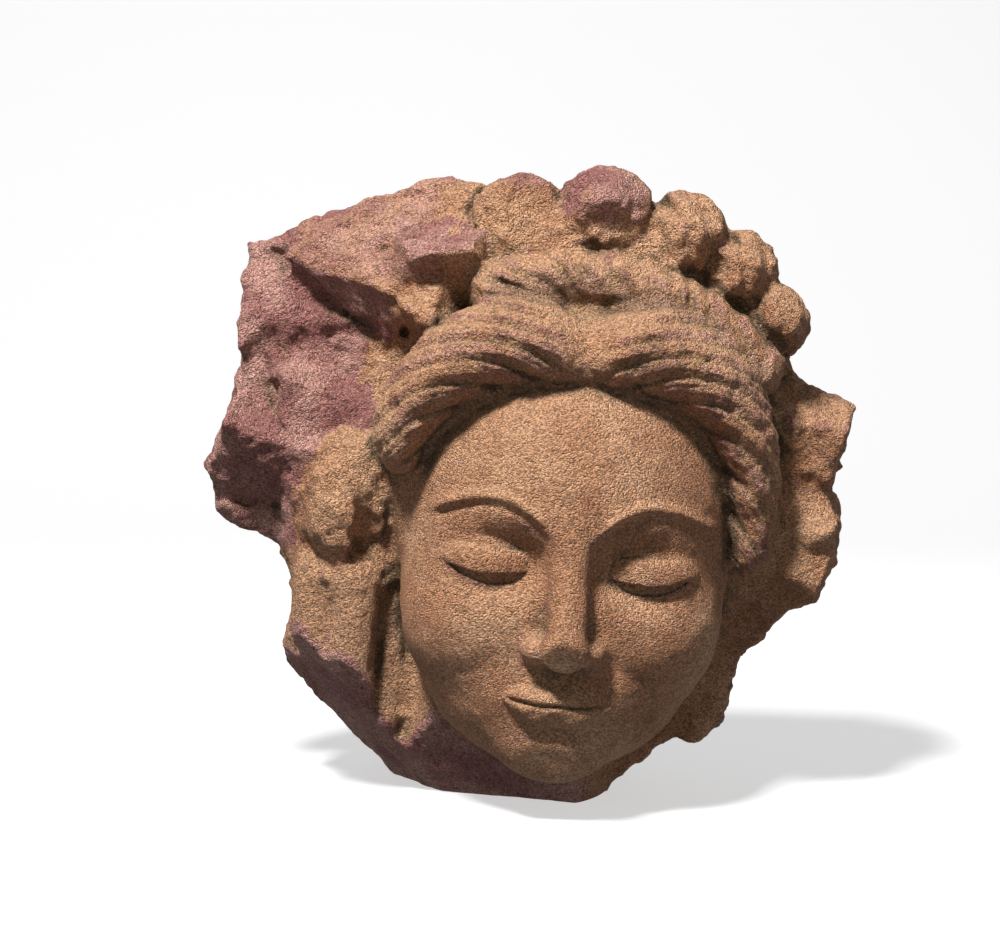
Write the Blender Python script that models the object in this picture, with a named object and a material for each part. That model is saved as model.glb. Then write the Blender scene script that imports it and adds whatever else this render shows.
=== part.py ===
"""Head of a deity, broken from a relief carved in one block of red sandstone.

The stone is described by a field: a function of position that is negative inside the stone and
positive outside it. Each carved form has its own function. They are blended into one field, a
closed mesh is drawn over its zero surface, and the mesh is cut flat where the stone stands.
Metres, +Z up, the face towards -Y, the origin on the underside.
"""

import bmesh
import bpy
import numpy as np
from mathutils import Euler, Vector

MM = 0.001

# The block, drawn on a grid of 220 squares to its height
STONE_HEIGHT = 220 * MM
SQUARE = STONE_HEIGHT / 220
BACK_DEPTH = 54 * MM
BACK_EDGE = 20 * MM
BREAK_ROUNDING = 2.5 * MM
BREAK_DEPTH = 3 * MM
CHIP_DEPTH = 2.4 * MM

# The head, whose face is twelve equal parts high from hairline to chin
FACE_HEIGHT = 132 * MM
PART = FACE_HEIGHT / 12
HEAD_PLACE = Vector((10, 10, 81)) * SQUARE
HEAD_TURN = Euler((0.05, 0.085, 0.02), "YXZ")

# The mesh, and the space that it is looked for in
CELL = 2.2 * MM
FACES = 9600
FILLED = 1e-5
BLOCK = 4
FIELD_LOW = (
    min(HEAD_PLACE.x - 9.5 * PART, -122 * SQUARE),
    HEAD_PLACE.y - 8.5 * PART,
    -22 * SQUARE,
)
FIELD_HIGH = (
    max(HEAD_PLACE.x + 9.5 * PART, 120 * SQUARE),
    BACK_DEPTH + 16 * MM,
    max(HEAD_PLACE.z + 14 * PART, 224 * SQUARE),
)


def blend(a, b, radius):
    """Two forms joined, with a fillet of that radius where they meet."""
    share = np.clip(0.5 + 0.5 * (b - a) / radius, 0, 1)
    return b + (a - b) * share - radius * share * (1 - share)


def carve(a, b, radius):
    """Form a with form b cut away, and a rounded edge."""
    return -blend(-a, b, radius)


def overlap(a, b, radius):
    """What two forms have in common, with a rounded edge."""
    return -blend(-a, -b, radius)


def ramp(x, start, end):
    """0 before start, 1 after end, and a smooth rise between them."""
    t = np.clip((x - start) / (end - start), 0, 1)
    return t * t * (3 - 2 * t)


def bump(x, width):
    """1 at 0, and close to 0 two widths away."""
    return np.exp(-((x / width) ** 2))


def ellipsoid(u, w, v, centre, radii):
    """Distance to an ellipsoid, close to true near its surface."""
    a, b, c = ((q - m) / r for q, m, r in zip((u, w, v), centre, radii))
    k0 = np.sqrt(a * a + b * b + c * c)
    k1 = np.sqrt((a / radii[0]) ** 2 + (b / radii[1]) ** 2 + (c / radii[2]) ** 2)
    return k0 * (k0 - 1) / np.maximum(k1, 1e-9)


def rod(u, w, v, start, end, start_radius, end_radius):
    """A round rod whose radius changes evenly from one end to the other."""
    along = np.subtract(end, start)
    du, dw, dv = u - start[0], w - start[1], v - start[2]
    t = np.clip((du * along[0] + dw * along[1] + dv * along[2]) / (along @ along), 0, 1)
    gap = np.sqrt((du - t * along[0]) ** 2 + (dw - t * along[1]) ** 2 + (dv - t * along[2]) ** 2)
    return gap - (start_radius + (end_radius - start_radius) * t)


def plane(x, y, z, point, normal):
    """Height above a plane through a point of the block's grid. Stone is on its negative side."""
    n = np.array(normal) / np.linalg.norm(normal)
    p = np.array(point) * SQUARE
    return (x - p[0]) * n[0] + (y - p[1]) * n[1] + (z - p[2]) * n[2]


def facets(x, y, z, *faces):
    """A solid bounded by broken faces, each a point of the grid and an outward normal."""
    form = plane(x, y, z, *faces[0])
    for face_plane in faces[1:]:
        form = overlap(form, plane(x, y, z, *face_plane), BREAK_ROUNDING)
    return form


def outline_distance(x, z, corners):
    """Distance to a closed outline in the XZ plane, negative inside it."""
    nearest = np.full(x.shape, np.inf)
    inside = np.zeros(x.shape, bool)
    for (ax, az), (bx, bz) in zip(corners, np.roll(corners, -1, axis=0)):
        ex, ez = bx - ax, bz - az
        t = np.clip(((x - ax) * ex + (z - az) * ez) / (ex * ex + ez * ez), 0, 1)
        nearest = np.minimum(nearest, (x - ax - t * ex) ** 2 + (z - az - t * ez) ** 2)
        if ez:
            crosses = ((az > z) != (bz > z)) & (x < ax + (z - az) * ex / ez)
            inside ^= crosses
    return np.where(inside, -1, 1) * np.sqrt(nearest)


def lattice(i, j, k, seed):
    """A fixed value from -1 to 1 for each point of a whole-number lattice."""
    h = (i * 374761393 + j * 668265263 + k * 2147483647 + seed * 1274126177) & 0xFFFFFFFF
    h = ((h ^ (h >> 13)) * 1274126177) & 0xFFFFFFFF
    return ((h ^ (h >> 16)) & 0xFFFF) / 32767.5 - 1


def noise(x, y, z, size, seed):
    """Smooth noise from -1 to 1 whose lumps are about size across."""
    cells, shares = [], []
    for q in (x, y, z):
        base = np.floor(q / size)
        t = q / size - base
        cells.append(base.astype(np.int64))
        shares.append(t * t * (3 - 2 * t))
    total = 0
    for corner in range(8):
        step = [corner >> axis & 1 for axis in range(3)]
        weight = 1
        for share, s in zip(shares, step):
            weight = weight * (share if s else 1 - share)
        total = total + weight * lattice(*(c + s for c, s in zip(cells, step)), seed)
    return total


def head_axes():
    """The head's right, front and up, as the columns of a matrix."""
    turn = HEAD_TURN.to_matrix()
    return np.array([turn @ Vector(a) for a in ((1, 0, 0), (0, -1, 0), (0, 0, 1))]).T


def in_head(x, y, z):
    """Position in the head's own directions, in parts: right u, front w, up v from mid-face."""
    offset = np.stack([x - HEAD_PLACE.x, y - HEAD_PLACE.y, z - HEAD_PLACE.z], -1)
    u, w, v = np.moveaxis(offset @ head_axes() / PART, -1, 0)
    return u, w, v


def plane_in_head(u, w, v, point, normal):
    """Height above a plane that is given in the head's own directions."""
    n = np.array(normal) / np.linalg.norm(normal)
    return (u - point[0]) * n[0] + (w - point[1]) * n[1] + (v - point[2]) * n[2]


EYE = (2.25, 0.65)
EYE_REACH = 1.45
MOUTH_REACH = 1.7
MOUTH_HEIGHT = -3.28
BROW_START = 0.7
BROW_LENGTH = 4.0


def skull(u, w, v):
    """The plain masses of the head: brain case, jaw, cheeks, mouth and chin."""
    form = ellipsoid(u, w, v, (0, 0.1, 1.6), (5.25, 5.2, 5.9))
    form = blend(form, ellipsoid(u, w, v, (0, 0.9, -1.5), (4.7, 3.85, 4.2)), 1.2)
    for side in (-1, 1):
        form = blend(form, ellipsoid(u, w, v, (2.6 * side, 2.5, -1.3), (2.0, 2.1, 1.9)), 1.3)
    form = blend(form, ellipsoid(u, w, v, (0, 1.7, -3.6), (3.5, 2.9, 2.3)), 1.0)
    form = blend(form, ellipsoid(u, w, v, (0, 3.3, -3.1), (2.4, 1.7, 1.5)), 0.9)
    return blend(form, ellipsoid(u, w, v, (0, 3.5, -4.85), (1.55, 1.3, 1.15)), 1.0)


def eye(side, w, v):
    """One ball of the eye with its lids, the upper one lowered, side being how far from the middle."""
    centre = (EYE[0], 3.4, EYE[1])
    across = np.clip((side - EYE[0]) / EYE_REACH, -1.2, 1.2)
    upper_edge = EYE[1] + 0.02 - 0.20 * (1 - across ** 2)
    lower_edge = EYE[1] - 0.02 - 0.50 * (1 - across ** 2)
    ball = ellipsoid(side, w, v, centre, (1.5, 1.15, 1.0))
    upper = overlap(ellipsoid(side, w, v, centre, (1.70, 1.33, 1.16)), upper_edge - v, 0.06)
    lower = overlap(ellipsoid(side, w, v, centre, (1.66, 1.27, 1.14)), v - lower_edge, 0.06)
    return blend(blend(ball, upper, 0.05), lower, 0.05)


def nose(side, w, v):
    """Straight bridge, round tip and wings."""
    form = rod(side, w, v, (0, 4.6, 2.3), (0, 5.9, -1.3), 0.50, 0.62)
    form = blend(form, ellipsoid(side, w, v, (0, 5.75, -1.45), (0.68, 0.85, 0.60)), 0.3)
    return blend(form, ellipsoid(side, w, v, (0.74, 5.1, -1.6), (0.50, 0.72, 0.44)), 0.3)


def lips(side, v):
    """How far the closed lips stand out, their corners lifted a little."""
    reach = np.clip(1 - (side / MOUTH_REACH) ** 2, 0, 1)
    line = MOUTH_HEIGHT + 0.12 * (1 - reach)
    upper_height = 0.60 * reach ** 0.7 - 0.12 * bump(side, 0.28)
    lower_height = 0.78 * reach ** 0.6
    above = np.clip((v - line) / np.maximum(upper_height, 0.05), 0, 1)
    below = np.clip((line - v) / np.maximum(lower_height, 0.05), 0, 1)
    upper = 0.36 * np.sin(np.pi * (0.30 + 0.70 * above)) * (v > line)
    lower = 0.44 * np.sin(np.pi * (0.25 + 0.75 * below)) * (v <= line)
    return (upper + lower) * reach ** 0.5 - 0.10 * bump(v - line, 0.09) * ramp(reach, 0, 0.3)


def face(u, w, v):
    """The head with its features, worked as they are set out on a drawing of twelve parts."""
    side = np.abs(u)
    form = skull(u, w, v)
    form = carve(form, ellipsoid(side, w, v, (EYE[0], 6.35, EYE[1] + 0.25), (2.1, 2.3, 1.25)), 0.8)
    form = blend(form, eye(side, w, v), 0.12)
    form = blend(form, nose(side, w, v), 0.45)
    form = carve(form, ellipsoid(side, w, v, (0.40, 5.6, -2.12), (0.22, 0.40, 0.20)), 0.12)
    form = carve(form, rod(side, w, v, (0, 5.5, -2.2), (0, 5.4, -2.7), 0.22, 0.24), 0.2)
    form = carve(form, ellipsoid(side, w, v, (0, 5.55, -4.12), (1.0, 0.75, 0.32)), 0.4)
    form = form - lips(side, v) * ramp(w, 2.5, 3.5)
    share = np.clip((side - BROW_START) / BROW_LENGTH, 0, 1)
    brow = EYE[1] + 1.25 + 0.95 * np.sin(np.pi * share ** 0.8)
    ends = ramp(side, BROW_START - 0.3, BROW_START + 0.5) * ramp(side, BROW_START + BROW_LENGTH, 3.8)
    form = form - 0.16 * bump(v - brow, 0.20) * ends * ramp(w, 1.5, 2.5)
    chip = plane_in_head(u, w, v, (0.1, 6.42, -1.35), (-0.10, 0.90, -0.42))
    return overlap(form, chip, 0.06)


HAIRLINE = (5.15, 6.4)
HAIRLINE_MIDDLE = -0.35
HAIRLINE_SQUARENESS = 2.8
LOCK_SPACING = 1.35


def round_head(u, v):
    """Angle from the parting and distance from the middle, 1 being the hairline."""
    a, b = u / HAIRLINE[0], (v - HAIRLINE_MIDDLE) / HAIRLINE[1]
    power = HAIRLINE_SQUARENESS
    return np.arctan2(a, b), (np.abs(a) ** power + np.abs(b) ** power) ** (1 / power)


def hair(u, w, v):
    """A thick roll of combed hair round the forehead, parted in the middle."""
    angle, reach = round_head(u, v)
    out = (reach - 1) * 5.6
    lift = np.clip(np.cos(angle), 0, 1)
    half = 0.42 + 0.80 * lift ** 0.7
    centre_w = 1.2 + 1.2 * lift
    roll = (np.hypot((out - half + 0.05) / half, (w - centre_w) / (1.2 + 0.7 * lift)) - 1) * half
    count = (np.abs(angle) * 5.8 - 1.0 * out - 0.62 * np.clip(out, 0, 3) ** 2) / LOCK_SPACING
    groove = 1 - np.sin(np.pi * (count - np.floor(count)) ** 0.7) ** 0.9
    parting = bump(u + 0.05, 0.26 + 0.40 * np.clip(out, 0, 3)) * lift
    clear = ramp(np.abs(angle), 0.02, 0.12) * (1 - parting)
    roll = roll + (0.15 + 0.09 * bump(out, 0.7)) * groove * clear
    roll = roll + 0.62 * parting * ramp(out, -0.3, 1.8)
    ends = np.where(u < 0, 1.02, 1.36)
    roll = roll + 3.5 * ramp(np.abs(angle), ends, ends + 0.4)
    scalp = ellipsoid(u, w, v, (0, 0.2, 2.6), (5.6, 3.6, 6.9))
    return blend(roll, scalp, 0.4)


BAND_MIDDLE = 1.9
BAND_RADIUS = 7.35
BAND_NOTCH = 1.0


def band(u, w, v):
    """A notched fillet that lies behind the hair, like a twisted cord."""
    angle = np.arctan2(u, v - BAND_MIDDLE)
    out = np.hypot(u, v - BAND_MIDDLE) - BAND_RADIUS
    form = (np.hypot(out / 0.95, (w - 0.6) / 1.9) - 1) * 0.95
    twist = angle * BAND_RADIUS + 0.8 * out
    form = form + 0.12 * (0.5 + 0.5 * np.cos(twist * 2 * np.pi / BAND_NOTCH)) ** 2
    ends = np.where(u < 0, 0.42, 0.85)
    return form + 2.0 * ramp(np.abs(angle), ends, ends + 0.25)


# The round curls stand in a ring round this point of the head, from left to right
KNOB_MIDDLE = (0.05, 3.9)
KNOB_RING = 7.42
KNOB_ANGLES = np.radians((-18.5, 2.5, 22.5, 38, 52.5))
KNOB_SIZES = (1.46, 1.48, 1.31, 1.20, 1.25)
KNOB_LENGTHS = (1.25, 1.34, 1.40, 1.33, 1.0)
KNOB_COILS = (0.0, 0.0, 1.0, 1.0, 0.3)
# How far forward each curl is broken off, and how steeply the break leans; two are broken
UNBROKEN = (9.0, 0.3)
KNOB_BREAKS = ((0.95, 0.30), (1.55, -0.05), UNBROKEN, UNBROKEN, UNBROKEN)
COIL_SPACING = 0.62
VALLEY_RING = 6.3


def knobs(u, w, v):
    """The row of big round curls that stands up behind the band, on a low dome."""
    form = ellipsoid(u, w, v, (KNOB_MIDDLE[0], -1.7, KNOB_MIDDLE[1] - 0.2), (7.3, 2.8, 7.4))
    round_middle = np.arctan2(u - KNOB_MIDDLE[0], v - KNOB_MIDDLE[1])
    out = np.hypot(u - KNOB_MIDDLE[0], v - KNOB_MIDDLE[1]) - VALLEY_RING
    depth = -0.2 - 1.2 * ramp(round_middle, 0.35, 0.75)
    valley = (np.hypot(out / 1.4, (w - depth) / 1.4) - 1) * 1.4
    valley = valley + 2.0 * ramp(-round_middle, 0.45, 0.75) + 2.0 * ramp(round_middle, 1.0, 1.3)
    form = blend(form, valley, 0.7)
    each = zip(KNOB_ANGLES, KNOB_SIZES, KNOB_LENGTHS, KNOB_COILS, KNOB_BREAKS)
    for angle, size, length, coil, (broken, rise) in each:
        du = u - KNOB_MIDDLE[0] - KNOB_RING * np.sin(angle)
        dv = v - KNOB_MIDDLE[1] - KNOB_RING * np.cos(angle)
        across = du * np.cos(angle) - dv * np.sin(angle)
        along = du * np.sin(angle) + dv * np.cos(angle)
        ball = ellipsoid(across, w, along, (0, -0.2, 0), (size, size * 1.5, length))
        turn = np.hypot(across + 0.85 * size, along + 0.75 * size) / COIL_SPACING
        groove = (0.5 + 0.5 * np.cos(turn * 2 * np.pi)) ** 1.5
        ball = ball + 0.20 * coil * groove * ramp(w, -0.4, 0.6)
        front = plane_in_head(across, w, along, (0, broken, 0), (0.10, 1, rise))
        form = blend(form, overlap(ball, front, 0.25), 0.32)
    return form


def ear(u, w, v):
    """The ear laid flat against the stone: a rim curled round a hollow, and a lobe."""
    form = ellipsoid(u, w, v, (-6.95, -0.1, 1.4), (1.45, 1.75, 2.25))
    form = blend(form, rod(u, w, v, (-6.6, 0.7, 2.95), (-5.7, 0.5, 2.4), 0.62, 0.42), 0.4)
    form = blend(form, rod(u, w, v, (-5.65, 0.45, 2.4), (-5.6, 0.2, 0.5), 0.36, 0.24), 0.2)
    form = carve(form, rod(u, w, v, (-6.25, 1.75, 2.15), (-6.15, 0.95, 0.05), 0.42, 0.62), 0.15)
    form = blend(form, ellipsoid(u, w, v, (-6.7, 0.25, -0.85), (1.25, 1.0, 0.85)), 0.35)
    return blend(form, ellipsoid(u, w, v, (-5.6, -1.2, -0.3), (1.4, 1.7, 3.6)), 0.3)


def tresses(u, w, v):
    """Three ribbed locks that hang below the ear."""
    form = rod(u, w, v, (-7.75, 0.15, -0.7), (-7.6, 0.3, -4.5), 0.72, 0.74)
    form = blend(form, rod(u, w, v, (-6.45, 0.6, -0.7), (-6.4, 0.65, -4.9), 0.74, 0.76), 0.15)
    return blend(form, rod(u, w, v, (-5.25, -0.1, -2.2), (-5.25, 0.1, -6.0), 0.34, 0.37), 0.06)


STONE_OUTLINE = np.array((
    (-101, 193), (-80, 201), (-35, 215), (11, 210), (53, 196), (81, 180), (88, 151), (112, 136),
    (109, 123), (104, 106), (108, 98), (106, 81), (99, 68), (89, 65), (75, 48), (67, 20),
    (44, 13), (27, 3), (12, -15), (-36, -15), (-52, -5), (-66, 12), (-83, 33), (-91, 46),
    (-86, 67), (-91, 85), (-112, 99), (-114, 116), (-104, 149),
)) * SQUARE


def rock(x, y, z):
    """The broken block that the head stands out of."""
    grid = [q / SQUARE for q in (x, y, z)]
    shelf = facets(
        x, y, z,
        ((-53, -6, 177), (-0.25, -0.74, 0.62)),
        ((-56, -3, 175), (-0.60, -0.45, -0.66)),
        ((-25, 0, 185), (0.85, -0.50, 0.10)),
    )
    scoop = ellipsoid(*grid, (-80, -22, 154), (42, 40, 38)) * SQUARE
    lump = facets(
        x, y, z,
        ((-94, 0, 129), (0.05, -0.93, 0.36)),
        ((-94, 0, 129), (-0.20, -0.78, -0.59)),
    )
    core = facets(
        x, y, z,
        ((0, 14, 80), (0.10, -0.99, 0.0)),
        ((-84, 16, 70), (-0.85, -0.50, -0.10)),
        ((-50, 14, 140), (0.30, -0.60, 0.74)),
    )
    upper_pleat = facets(
        x, y, z,
        ((103, -4, 130), (0.10, -0.62, 0.78)),
        ((103, -4, 128), (-0.15, -0.97, -0.18)),
        ((106, -2, 116), (0.10, -0.80, -0.60)),
    )
    lower_pleat = facets(
        x, y, z,
        ((95, -8, 96), (-0.05, -0.50, 0.86)),
        ((94, -8, 94), (-0.15, -0.93, -0.35)),
        ((96, -6, 88), (0.25, -0.72, -0.65)),
    )
    trough = ellipsoid(*grid, (90, -12, 100), (28, 42, 78)) * SQUARE
    core = carve(core, trough, 3 * MM)
    form = carve(blend(shelf, lump, BREAK_ROUNDING), scoop, BREAK_ROUNDING)
    for body in (core, upper_pleat, lower_pleat):
        form = blend(form, body, BREAK_ROUNDING)
    edge = outline_distance(x, z, STONE_OUTLINE)
    edge = edge + 0.35 * np.maximum(y - BACK_DEPTH + BACK_EDGE, 0)
    edge = edge + 0.15 * np.maximum(BACK_EDGE - y, 0)
    form = overlap(form, edge, BREAK_ROUNDING)
    back = facets(
        x, y - BACK_DEPTH, z,
        ((0, 0, 100), (0.05, 1, 0.12)),
        ((70, -4, 70), (0.40, 0.90, -0.16)),
        ((-60, -2, 150), (-0.20, 0.96, 0.12)),
        ((10, -7, 180), (0.10, 0.78, 0.62)),
    )
    return overlap(form, back, BREAK_ROUNDING)


def broken_curl(x, y, z):
    """The stump of the first curl, broken to a rough slope."""
    grid = [q / SQUARE for q in (x, y, z)]
    boss = ellipsoid(*grid, (-31, 3, 187), (17, 27, 24)) * SQUARE
    rough = CHIP_DEPTH * noise(*grid, 15, 36)
    top = plane(x, y, z, (-31, -17, 190), (-0.05, -0.44, 0.90))
    left = plane(x, y, z, (-45, -10, 190), (-0.85, -0.52, 0.10))
    under = plane(x, y, z, (-31, -17, 190), (0.05, -0.78, -0.62))
    form = overlap(overlap(boss, top + rough, 1.0 * MM), under + 0.6 * rough, 0.8 * MM)
    return overlap(form, left + rough, 2 * MM)


def lower_breaks(x, y, z):
    """The three broken faces that the neck and the locks end on."""
    return facets(
        x, y, z,
        ((10, -14, 8), (0.05, -0.62, -0.78)),
        ((-72, -4, 52), (-0.30, -0.80, -0.52)),
        ((-72, -4, 52), (-0.62, -0.42, -0.62)),
    )


def stone(x, y, z):
    """The whole field, in metres: negative inside the stone."""
    u, w, v = in_head(x, y, z)
    grid = [q / SQUARE for q in (x, y, z)]
    chips = np.abs(noise(*grid, 24, 3)) + 0.4 * np.abs(noise(*grid, 11, 5))
    form = rock(x, y, z) + BREAK_DEPTH * (chips - 0.4) * ramp(y, 0, 14 * MM)
    neck = rod(u, w, v, (-0.9, -0.6, -4.2), (-1.7, -1.4, -9.9), 3.4, 3.5) * PART
    skin = blend(neck, knobs(u, w, v) * PART, 3 * MM)
    skin = blend(skin, band(u, w, v) * PART, 2 * MM)
    skin = blend(skin, ear(u, w, v) * PART, 2 * MM)
    skin = blend(skin, tresses(u, w, v) * PART, 3 * MM)
    form = blend(form, skin, 4 * MM)
    form = blend(form, broken_curl(x, y, z), 2.5 * MM)
    form = overlap(form, lower_breaks(x, y, z), 0.8 * MM)
    locks = hair(u, w, v)
    form = blend(form, locks * PART, 5 * MM)
    head = blend(face(u, w, v), locks, 0.07) * PART
    return blend(form, head, 0.8 * MM)


def part_clearly(values):
    """Fills in lattice points until no square of four is crossed corner to corner."""
    for _ in range(6):
        for first, second in ((0, 1), (0, 2), (1, 2)):
            plate = np.moveaxis(values, (first, second), (0, 1))
            squares = (plate[:-1, :-1], plate[:-1, 1:], plate[1:, 1:], plate[1:, :-1])
            a, b, c, d = squares
            crossed = ((a < 0) == (c < 0)) & ((b < 0) == (d < 0)) & ((a < 0) != (b < 0))
            for one, other in ((a, c), (b, d)):
                fill = crossed & (one >= 0) & (other >= 0)
                one[fill & (one <= other)] = -FILLED
                other[fill & (one > other)] = -FILLED


def sample(field, low, high, cell):
    """The field on a lattice, worked out exactly only in the blocks that its surface may cross."""
    span = BLOCK * cell
    axes = [np.arange(a, b, span) + (BLOCK - 1) / 2 * cell for a, b in zip(low, high)]
    rough = field(*np.meshgrid(*axes, indexing="ij"))
    values = rough.repeat(BLOCK, 0).repeat(BLOCK, 1).repeat(BLOCK, 2)
    corner = np.stack(np.meshgrid(*[np.arange(BLOCK)] * 3, indexing="ij"), -1).reshape(-1, 3)
    near = np.argwhere(np.abs(rough) < 1.4 * span)
    for some in np.array_split(near, len(near) // 8000 + 1):
        spots = (some[:, None] * BLOCK + corner).reshape(-1, 3)
        values[tuple(spots.T)] = field(*(np.array(low) + spots * cell).T)
    return values


def surface_net(field, low, high, cell):
    """Points and quads over the field's zero surface: a point in each cell that it crosses."""
    origin = np.array(low)
    values = sample(field, low, high, cell)
    part_clearly(values)
    counts = np.array(values.shape)
    flat = np.array((counts[1] * counts[2], counts[2], 1))
    quads, cell_ids, cell_points = [], [], []
    for axis in range(3):
        step = np.eye(3, dtype=int)[axis]
        first = values[tuple(slice(0, n - s) for n, s in zip(counts, step))]
        second = values[tuple(slice(s, n) for n, s in zip(counts, step))]
        edges = np.argwhere((first < 0) != (second < 0))
        a, b = first[tuple(edges.T)], second[tuple(edges.T)]
        points = edges + (a / (a - b))[:, None] * step
        right, up = np.eye(3, dtype=int)[(axis + 1) % 3], np.eye(3, dtype=int)[(axis + 2) % 3]
        ring = [(edges - s) @ flat for s in (right * 0, right, right + up, up)]
        for ids in ring:
            cell_ids.append(ids)
            cell_points.append(points)
        corners = np.stack(ring, 1)
        quads.append(np.where((a < 0)[:, None], corners, corners[:, ::-1]))
    cell_ids, cell_points = np.concatenate(cell_ids), np.concatenate(cell_points)
    used, index, share = np.unique(cell_ids, return_inverse=True, return_counts=True)
    centres = np.stack([np.bincount(index, c) for c in cell_points.T], 1) / share[:, None]
    return origin + centres * cell, np.searchsorted(used, np.concatenate(quads))


def settle(points, field, rounds, reach):
    """Moves points onto the field's zero surface along its slope."""
    small = 0.2 * MM
    for _ in range(rounds):
        value = field(*points.T)
        slope = np.stack([
            (field(*(points + small * s).T) - field(*(points - small * s).T)) / (2 * small)
            for s in np.eye(3)
        ], 1)
        steep = np.maximum((slope ** 2).sum(1), 0.2)
        move = slope * (value / steep)[:, None]
        length = np.maximum(np.linalg.norm(move, axis=1), 1e-12)
        points = points - move * np.minimum(1, reach / length)[:, None]
    return points


def reduce_faces(obj):
    """Collapses edges until the stone has FACES triangles."""
    modifier = obj.modifiers.new("reduce", "DECIMATE")
    modifier.ratio = FACES / (2 * len(obj.data.polygons))
    evaluated = obj.evaluated_get(bpy.context.evaluated_depsgraph_get())
    mesh = bpy.data.meshes.new_from_object(evaluated)
    obj.modifiers.remove(modifier)
    return mesh


def keep_largest(bm):
    """Deletes every shell but the largest, such as a small sealed hollow inside the stone."""
    shells, seen = [], set()
    for start in bm.verts:
        if start in seen:
            continue
        shell, waiting = {start}, [start]
        while waiting:
            for edge in waiting.pop().link_edges:
                for vertex in edge.verts:
                    if vertex not in shell:
                        shell.add(vertex)
                        waiting.append(vertex)
        seen |= shell
        shells.append(shell)
    stray = set().union(*sorted(shells, key=len)[:-1])
    bmesh.ops.delete(bm, geom=list(stray), context="VERTS")


def cut_flat(bm):
    """Cuts the stone level at z = 0 and closes it, so that it stands."""
    every = bm.verts[:] + bm.edges[:] + bm.faces[:]
    bmesh.ops.bisect_plane(bm, geom=every, plane_co=(0, 0, 0), plane_no=(0, 0, 1), clear_inner=True)
    rim = [edge for edge in bm.edges if edge.is_boundary]
    for vertex in {v for edge in rim for v in edge.verts}:
        vertex.co.z = 0
    bmesh.ops.holes_fill(bm, edges=rim, sides=0)
    bmesh.ops.dissolve_degenerate(bm, dist=0.2 * MM, edges=bm.edges)
    bmesh.ops.triangulate(bm, faces=bm.faces)


def centre_foot(bm):
    """Moves the stone so that the middle of its box is over the origin."""
    spots = np.array([v.co for v in bm.verts])
    middle = (spots.min(0) + spots.max(0)) / 2
    bmesh.ops.translate(bm, verts=bm.verts, vec=(-middle[0], -middle[1], 0))


def sandstone():
    material = bpy.data.materials.new("sandstone")
    material.use_nodes = True
    shader = material.node_tree.nodes["Principled BSDF"]
    shader.inputs["Base Color"].default_value = (0.33, 0.17, 0.11, 1)
    shader.inputs["Roughness"].default_value = 0.92
    shader.inputs["Metallic"].default_value = 0
    return material


def main():
    for old in list(bpy.data.objects):
        bpy.data.objects.remove(old)
    points, quads = surface_net(stone, FIELD_LOW, FIELD_HIGH, CELL)
    points = settle(points, stone, 2, CELL)
    fine = bpy.data.meshes.new("deity_head")
    fine.from_pydata(points.tolist(), [], quads.tolist())
    obj = bpy.data.objects.new("deity_head", fine)
    bpy.context.scene.collection.objects.link(obj)
    obj.data = reduce_faces(obj)

    bm = bmesh.new()
    bm.from_mesh(obj.data)
    cut_flat(bm)
    keep_largest(bm)
    centre_foot(bm)
    bm.to_mesh(obj.data)
    bm.free()
    obj.data.shade_smooth()
    obj.data.materials.append(sandstone())


main()
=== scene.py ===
# %% [markdown]
# A head of a deity, broken out of a relief that was carved in one block of red sandstone. This
# lesson carves its looks: one closed mesh that stands for the whole stone, and one sandstone
# material. The stone is stiff and in one piece, so nothing here is cloth, cord or moving part.
#
# The imported model is loaded first. It is the frame: it holds the true place and size of the
# block, and the carving below is moved to stand where it stands.

# %% Load the frame
import math
import time

import bmesh
import bpy
import numpy as np
from mathutils import Euler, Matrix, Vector


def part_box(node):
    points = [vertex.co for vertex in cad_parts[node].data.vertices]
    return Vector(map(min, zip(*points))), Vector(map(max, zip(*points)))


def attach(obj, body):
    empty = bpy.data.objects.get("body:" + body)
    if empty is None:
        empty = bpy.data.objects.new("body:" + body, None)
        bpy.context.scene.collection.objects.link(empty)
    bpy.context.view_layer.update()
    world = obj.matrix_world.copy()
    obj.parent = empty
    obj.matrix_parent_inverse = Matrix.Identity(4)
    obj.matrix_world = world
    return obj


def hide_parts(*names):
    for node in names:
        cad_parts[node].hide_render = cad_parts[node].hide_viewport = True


started = time.time()
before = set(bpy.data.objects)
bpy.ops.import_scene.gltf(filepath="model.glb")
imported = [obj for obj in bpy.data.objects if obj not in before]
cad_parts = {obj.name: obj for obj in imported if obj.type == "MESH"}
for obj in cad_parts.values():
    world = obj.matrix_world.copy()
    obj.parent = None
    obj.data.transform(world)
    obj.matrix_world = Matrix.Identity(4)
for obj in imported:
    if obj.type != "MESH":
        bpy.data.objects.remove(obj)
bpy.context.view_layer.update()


def put_in_scene(name, data):
    """A new object of the scene that holds the data."""
    made = bpy.data.objects.new(name, data)
    bpy.context.scene.collection.objects.link(made)
    return made


# %% [markdown]
# A carved stone could be sculpted by pushing the points of a mesh, but locks, lids and breaks
# that run into each other are hard to keep clean that way. Here the stone is a field instead: a
# function that says how far a place is outside the stone, less than zero inside it. Each form is
# a few lines of arithmetic on whole arrays of places, forms join with a soft fillet, and at the
# end one closed mesh is drawn over the places where the field is zero.

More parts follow.
